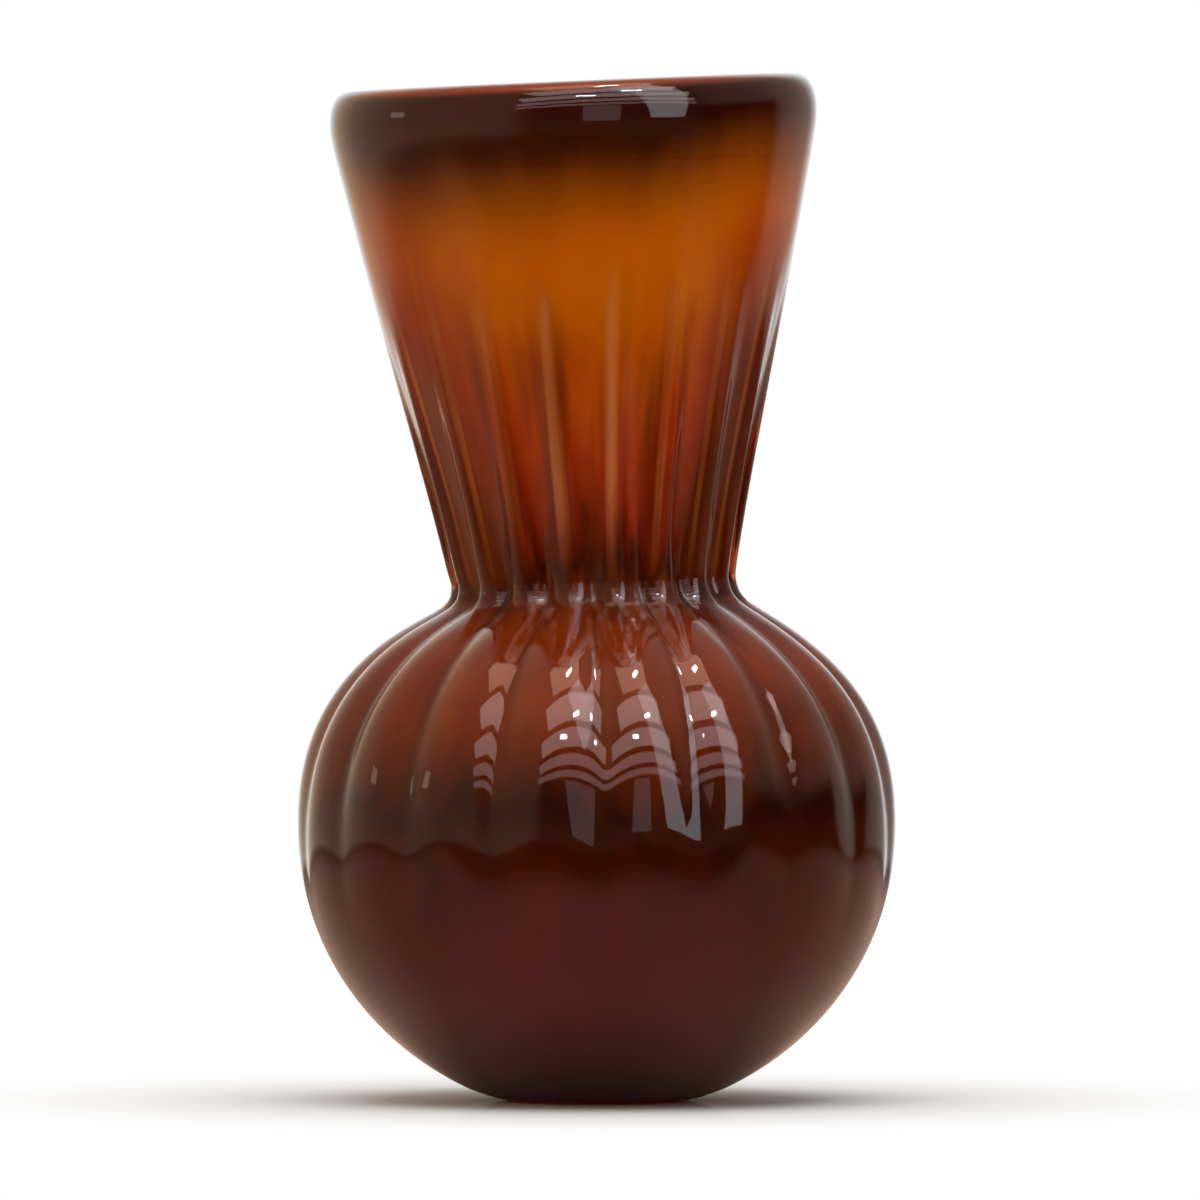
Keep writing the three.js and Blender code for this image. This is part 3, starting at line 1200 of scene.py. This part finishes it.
@dataclass
class Studio:
    """The floor and the room: white behind the vase, pale walls at the left, a dark corner at the right.

    Where the walls start and end is in degrees, 0 in front and positive to the right.
    """

    floor_radius: float = 8.0
    floor_sides: int = 128
    white_from: float = 168.0
    far_wall_at: float = -150.0
    wall_from: float = -130.0
    wall_to: float = -32.0
    front_from: float = -20.0
    front_to: float = 58.0
    corner_from: float = 68.0
    corner_to: float = 110.0
    right_wall_from: float = 118.0
    right_wall_to: float = 150.0
    white: Colour = (1.0, 1.0, 1.0, 1.0)
    wall: Colour = (0.62, 0.48, 0.35, 1.0)
    far_wall: Colour = (0.80, 0.60, 0.40, 1.0)
    right_wall: Colour = (0.40, 0.34, 0.29, 1.0)
    front: Colour = (0.12, 0.10, 0.09, 1.0)
    corner: Colour = (0.03, 0.026, 0.022, 1.0)
    corner_top: Span = Span(0.10, 0.25)
    ceiling: Colour = (0.45, 0.45, 0.45, 1.0)
    ceiling_edge: Span = Span(0.6, 0.85)
    table: Colour = (0.80, 0.42, 0.36, 1.0)
    table_back: Colour = (0.50, 0.33, 0.24, 1.0)
    table_turn: Span = Span(-0.85, -0.50)
    table_stretch: float = 0.6
    shadow: Colour = (0.0, 0.0, 0.0, 1.0)
    table_edge: Span = Span(0.10, 0.25)
    table_shadow: Span = Span(0.015, 0.055)
    table_lift: float = 0.0005
    dim: float = 0.85
    dim_end: Span = Span(0.45, 0.70)
    finish: FloorFinish = FloorFinish()

    def build(self) -> None:
        """Lays the floor and the table card, and sets the world."""
        self._disc("studio_floor", 0.0, self.finish.material())
        # The table card glows only in the glass's gloss, with a painted shadow round the foot.
        card = self._disc("table_card", self.table_lift, self._card_light())
        card.visible_camera = False
        card.visible_diffuse = False
        card.visible_transmission = False
        card.visible_shadow = False
        world = bpy.data.worlds.new("studio")
        world.use_nodes = True
        tray = NodeTray(world.node_tree)
        direction = tray.add("ShaderNodeTexCoord", output="Generated")
        parts = tray.add("ShaderNodeSeparateXYZ", None, {"Vector": direction})
        height = parts.out("Z")
        low = self._room(tray, parts, self.corner)
        high = self._room(tray, parts, self.right_wall)
        walls = tray.mix(self.corner_top.of(height), low, high)
        colour = tray.mix(self.ceiling_edge.of(height), walls, self.ceiling)
        light = tray.add("ShaderNodeBackground", None, {"Color": colour})
        tray.add("ShaderNodeOutputWorld", None, {"Surface": light})
        bpy.context.scene.world = world

    def _disc(self, name: str, height: float, material: bpy.types.Material) -> bpy.types.Object:
        """Lays a round sheet on the floor.

        Args:
            name: The sheet's name.
            height: How far above the floor it lies.
            material: Its material.

        Returns:
            The sheet.
        """
        bpy.ops.object.select_all(action="DESELECT")
        bpy.ops.mesh.primitive_circle_add(
            vertices=self.floor_sides,
            radius=self.floor_radius,
            fill_type="NGON",
        )
        bpy.ops.object.mode_set(mode="EDIT")
        bpy.ops.transform.translate(value=(0.0, 0.0, height))
        bpy.ops.object.mode_set(mode="OBJECT")
        disc = bpy.context.object
        disc.name = name
        disc.data.materials.append(material)
        return disc

    def _card_light(self) -> bpy.types.Material:
        """What the glass mirrors from the floor, on a sheet that glows only in gloss: a warm table with a
        painted shadow round the foot, a dimmed room and then the room itself.

        Returns:
            The card's material.
        """
        material, tray = NodeTray.for_material("table_card")
        place = tray.add("ShaderNodeTexCoord", output="Object")
        parts = tray.add("ShaderNodeSeparateXYZ", None, {"Vector": place})
        reach = tray.add("ShaderNodeVectorMath", {"operation": "LENGTH"}, {0: place}, "Value")
        turned = self.table_turn.of(parts.out("Y") / reach)
        table = tray.mix(turned, self.table, self.table_back)
        # Painted shadow round the foot.
        near = tray.mix(self.table_shadow.of(reach), self.shadow, table)
        dimmed = (1 - self.dim_end.of(reach)) * self.dim
        room = tray.mix(dimmed, self._room(tray, parts, self.corner), self.shadow)
        edge = self.table_edge.of(reach * (1 - turned * self.table_stretch))
        colour = tray.mix(edge, near, room)
        light = tray.add("ShaderNodeEmission", None, {"Color": colour})
        clear = tray.add("ShaderNodeBsdfTransparent")
        below = tray.add("ShaderNodeNewGeometry", output="Backfacing")
        tray.add("ShaderNodeOutputMaterial", None, {"Surface": tray.blend(below, light, clear)})
        return material

    def _room(self, tray: NodeTray, parts: Wire, corner: Colour) -> Wire:
        """The room's brightness all round.

        Args:
            tray: The nodes to add to.
            parts: The separated parts of a direction or a place.
            corner: What stands in the room's corner at the right.

        Returns:
            A colour by azimuth, which is 0 in front and positive to the right.
        """
        azimuth = parts.out("X").maths("ARCTAN2", 0.0 - parts.out("Y"))
        all_round = [
            (-self.white_from, self.white),
            (self.far_wall_at, self.far_wall),
            (self.wall_from, self.wall),
            (self.wall_to, self.wall),
            (self.front_from, self.front),
            (self.front_to, self.front),
            (self.corner_from, corner),
            (self.corner_to, corner),
            (self.right_wall_from, self.right_wall),
            (self.right_wall_to, self.right_wall),
            (self.white_from, self.white),
        ]
        stops = [(MIDDLE + degrees / FULL_TURN, colour) for degrees, colour in all_round]
        return tray.add("ShaderNodeValToRGB", {"stops": stops}, {"Fac": azimuth / math.tau + MIDDLE})


class Seen(Enum):
    """What shows a lamp's light."""

    IN_GLOSS = "in_gloss"
    OUTSIDE_GLOSS = "outside_gloss"


@dataclass(frozen=True)
class Panel:
    """A rectangular lamp that faces the vase."""

    name: str
    azimuth: float
    elevation: float
    distance: float
    width: float
    height: float
    radiance: float
    colour: tuple[float, float, float] = (1.0, 1.0, 1.0)
    seen: Seen = Seen.IN_GLOSS
    aim: Vector = field(default_factory=lambda: Vector((0.0, 0.0, 0.08)))

    def build(self) -> None:
        """Hangs the lamp. Azimuth 0 is in front and positive to the right, in degrees."""
        turn = math.radians(self.azimuth)
        lift = math.radians(self.elevation)
        arm = Vector((math.sin(turn) * math.cos(lift), -math.cos(turn) * math.cos(lift), math.sin(lift)))
        lamp = bpy.data.lights.new(self.name, "AREA")
        lamp.shape = "RECTANGLE"
        lamp.size = self.width
        lamp.size_y = self.height
        lamp.color = self.colour
        lamp.energy = self.radiance * math.pi * self.width * self.height
        holder = bpy.data.objects.new(self.name, lamp)
        bpy.context.scene.collection.objects.link(holder)
        holder.location = self.aim + arm * self.distance
        holder.rotation_euler = (-arm).to_track_quat("-Z", "Y").to_euler()
        holder.visible_camera = False
        holder.visible_glossy = self.seen is Seen.IN_GLOSS
        holder.visible_diffuse = self.seen is Seen.OUTSIDE_GLOSS
        holder.visible_transmission = self.seen is Seen.OUTSIDE_GLOSS
        holder.visible_volume_scatter = self.seen is Seen.OUTSIDE_GLOSS


@dataclass(frozen=True)
class PaneRow:
    """A row of panes of the tall window, in degrees of elevation.

    A row high overhead keeps at least the narrowest share of the window's width.
    """

    bottom: float
    top: float
    radiance: float
    colour: tuple[float, float, float]
    narrowest: float = 0.3

    def panel(self, name: str, azimuth: float, spread: float, distance: float) -> Panel:
        """The lamp that shows this row.

        Args:
            name: The lamp's name.
            azimuth: Where the window's middle is.
            spread: How far it reaches to each side, in degrees.
            distance: How far away it is.

        Returns:
            A panel as wide as the window.
        """
        middle = (self.bottom + self.top) / 2
        height = 2 * distance * math.tan(math.radians(self.top - self.bottom) / 2)
        level = distance * max(math.cos(math.radians(middle)), self.narrowest)
        width = 2 * level * math.tan(math.radians(spread))
        return Panel(name, azimuth, middle, distance, width, height, self.radiance, self.colour)


@dataclass
class StudioLights:
    """A soft top light, and a paned window and small lamps that only the gloss of the glass shows.

    The lower lamps hang from the ceiling too, each at an azimuth and an elevation in degrees.
    """

    top: Panel = Panel(
        name="top_light",
        azimuth=0.0,
        elevation=84.0,
        distance=1.6,
        width=1.6,
        height=1.6,
        radiance=2.4,
        seen=Seen.OUTSIDE_GLOSS,
    )
    window_azimuth: float = 16.0
    window_spread: float = 44.0
    window_distance: float = 1.2
    window: tuple[PaneRow, ...] = (
        PaneRow(bottom=72.0, top=93.0, radiance=3.9, colour=(1.0, 0.62, 0.46)),
        PaneRow(bottom=51.0, top=68.0, radiance=4.6, colour=(1.0, 0.76, 0.72)),
        PaneRow(bottom=36.0, top=47.0, radiance=3.9, colour=(1.0, 0.78, 0.77)),
        PaneRow(bottom=26.5, top=32.5, radiance=3.0, colour=(1.0, 0.70, 0.74)),
        PaneRow(bottom=20.5, top=24.0, radiance=2.5, colour=(1.0, 0.70, 0.74)),
    )
    side_window: Panel = Panel(
        name="side_window",
        azimuth=45.0,
        elevation=35.0,
        distance=1.3,
        width=0.48,
        height=1.88,
        radiance=3.4,
        colour=(0.93, 0.96, 1.0),
    )
    low_wall: Panel = Panel(
        name="low_wall",
        azimuth=13.0,
        elevation=8.0,
        distance=1.3,
        width=0.40,
        height=0.50,
        radiance=1.1,
        colour=(1.0, 0.80, 0.86),
    )
    side_glint: Panel = Panel(
        name="side_glint",
        azimuth=-91.0,
        elevation=12.0,
        distance=1.05,
        width=0.16,
        height=0.10,
        radiance=1.7,
        colour=(1.0, 0.85, 0.75),
    )
    ceiling_lamp: Panel = Panel(
        name="ceiling_lamp_0",
        azimuth=46.0,
        elevation=81.0,
        distance=1.05,
        width=0.14,
        height=0.05,
        radiance=60.0,
    )
    lower_lamps: tuple[tuple[float, float], ...] = ((33.0, 53.0), (5.0, 41.6))

    def build(self) -> None:
        """Hangs all the lamps."""
        self.top.build()
        self.side_window.build()
        self.low_wall.build()
        self.side_glint.build()
        for number, row in enumerate(self.window):
            name = f"window_row_{number}"
            row.panel(name, self.window_azimuth, self.window_spread, self.window_distance).build()
        self.ceiling_lamp.build()
        for number, (azimuth, elevation) in enumerate(self.lower_lamps, start=1):
            name = f"ceiling_lamp_{number}"
            replace(self.ceiling_lamp, name=name, azimuth=azimuth, elevation=elevation).build()


@dataclass
class PhotoCamera:
    """A long lens, a little above the table."""

    place: Vector = field(default_factory=lambda: Vector((0.0006, -3.5, 0.16)))
    target: Vector = field(default_factory=lambda: Vector((0.0006, 0.0, 0.0884)))
    lens: float = 594.6
    sensor: float = 36.0
    clip_end: float = 30.0

    def build(self) -> None:
        """Sets up the scene's camera."""
        camera = bpy.data.cameras.new("photo_camera")
        camera.lens = self.lens
        camera.sensor_width = self.sensor
        camera.clip_end = self.clip_end
        holder = bpy.data.objects.new("photo_camera", camera)
        bpy.context.scene.collection.objects.link(holder)
        holder.location = self.place
        holder.rotation_euler = (self.target - self.place).to_track_quat("-Z", "Y").to_euler()
        bpy.context.scene.camera = holder


def main() -> None:
    """Builds the vase layer by layer, then the studio round it."""
    logging.basicConfig(level=logging.INFO, format="%(name)s: %(message)s")
    bpy.context.scene.view_settings.view_transform = "Standard"
    form = VaseForm()
    for layer in (OuterCasing(form), InnerLining(form), LipBand(form)):
        piece = layer.build()
        LOG.info("%s has %d faces", piece.name, len(piece.data.polygons))
    Studio().build()
    StudioLights().build()
    PhotoCamera().build()


if __name__ == "__main__":
    main()
